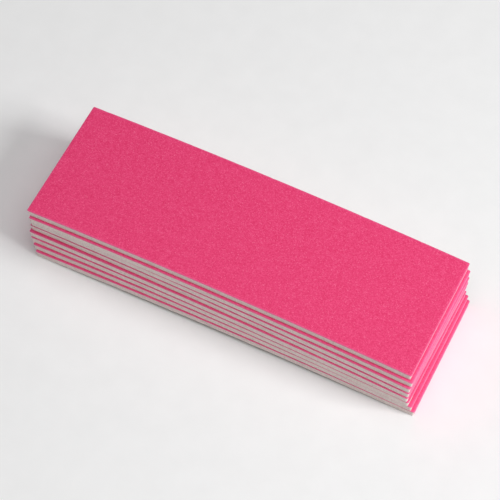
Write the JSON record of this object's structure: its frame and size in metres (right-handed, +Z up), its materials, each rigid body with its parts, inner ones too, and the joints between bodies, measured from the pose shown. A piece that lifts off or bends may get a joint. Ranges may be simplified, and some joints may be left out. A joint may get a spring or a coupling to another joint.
{
  "type": "nail buffer pad stack",
  "caption": "Loose stack of thin rectangular nail buffer pads, each a white foam core with a pink fine-grit abrasive sheet on its upper side, slightly curled lengthwise.",
  "frame": {"origin": "middle of the stack's footprint, on the surface that the bottom pad stands on", "axes": "+X along the pads' long edge, +Y across their width, +Z up through the stack, away from the surface; the abrasive sides face +Z"},
  "size_m": [0.0981, 0.034, 0.0171],
  "materials": {
    "foam": "closed-cell foam, matt, off-white, die-cut edge",
    "adhesive": "thin milky adhesive film, seen only as a line at the edge",
    "abrasive": "pink fine-grit coated sheet, matt, faintly speckled"
  },
  "bodies": {
    "pad_1": {"pad_1_foam_core": "foam", "pad_1_adhesive_film": "adhesive", "pad_1_abrasive_sheet": "abrasive"},
    "pad_2": {"pad_2_foam_core": "foam", "pad_2_adhesive_film": "adhesive", "pad_2_abrasive_sheet": "abrasive"},
    "pad_3": {"pad_3_foam_core": "foam", "pad_3_adhesive_film": "adhesive", "pad_3_abrasive_sheet": "abrasive"},
    "pad_4": {"pad_4_foam_core": "foam", "pad_4_adhesive_film": "adhesive", "pad_4_abrasive_sheet": "abrasive"},
    "pad_5": {"pad_5_foam_core": "foam", "pad_5_adhesive_film": "adhesive", "pad_5_abrasive_sheet": "abrasive"},
    "pad_6": {"pad_6_foam_core": "foam", "pad_6_adhesive_film": "adhesive", "pad_6_abrasive_sheet": "abrasive"},
    "pad_7": {"pad_7_foam_core": "foam", "pad_7_adhesive_film": "adhesive", "pad_7_abrasive_sheet": "abrasive"},
    "pad_8": {"pad_8_foam_core": "foam", "pad_8_adhesive_film": "adhesive", "pad_8_abrasive_sheet": "abrasive"}
  },
  "joints": [
    {"name": "pad_2_lift", "type": "slide", "parent": "pad_1", "child": "pad_2", "axis": [0, 0, 1], "range_m": [0, 0.025]},
    {"name": "pad_3_lift", "type": "slide", "parent": "pad_2", "child": "pad_3", "axis": [0, 0, 1], "range_m": [0, 0.025]},
    {"name": "pad_4_lift", "type": "slide", "parent": "pad_3", "child": "pad_4", "axis": [0, 0, 1], "range_m": [0, 0.025]},
    {"name": "pad_5_lift", "type": "slide", "parent": "pad_4", "child": "pad_5", "axis": [0, 0, 1], "range_m": [0, 0.025]},
    {"name": "pad_6_lift", "type": "slide", "parent": "pad_5", "child": "pad_6", "axis": [0, 0, 1], "range_m": [0, 0.025]},
    {"name": "pad_7_lift", "type": "slide", "parent": "pad_6", "child": "pad_7", "axis": [0, 0, 1], "range_m": [0, 0.025]},
    {"name": "pad_8_lift", "type": "slide", "parent": "pad_7", "child": "pad_8", "axis": [0, 0, 1], "range_m": [0, 0.025]}
  ]
}
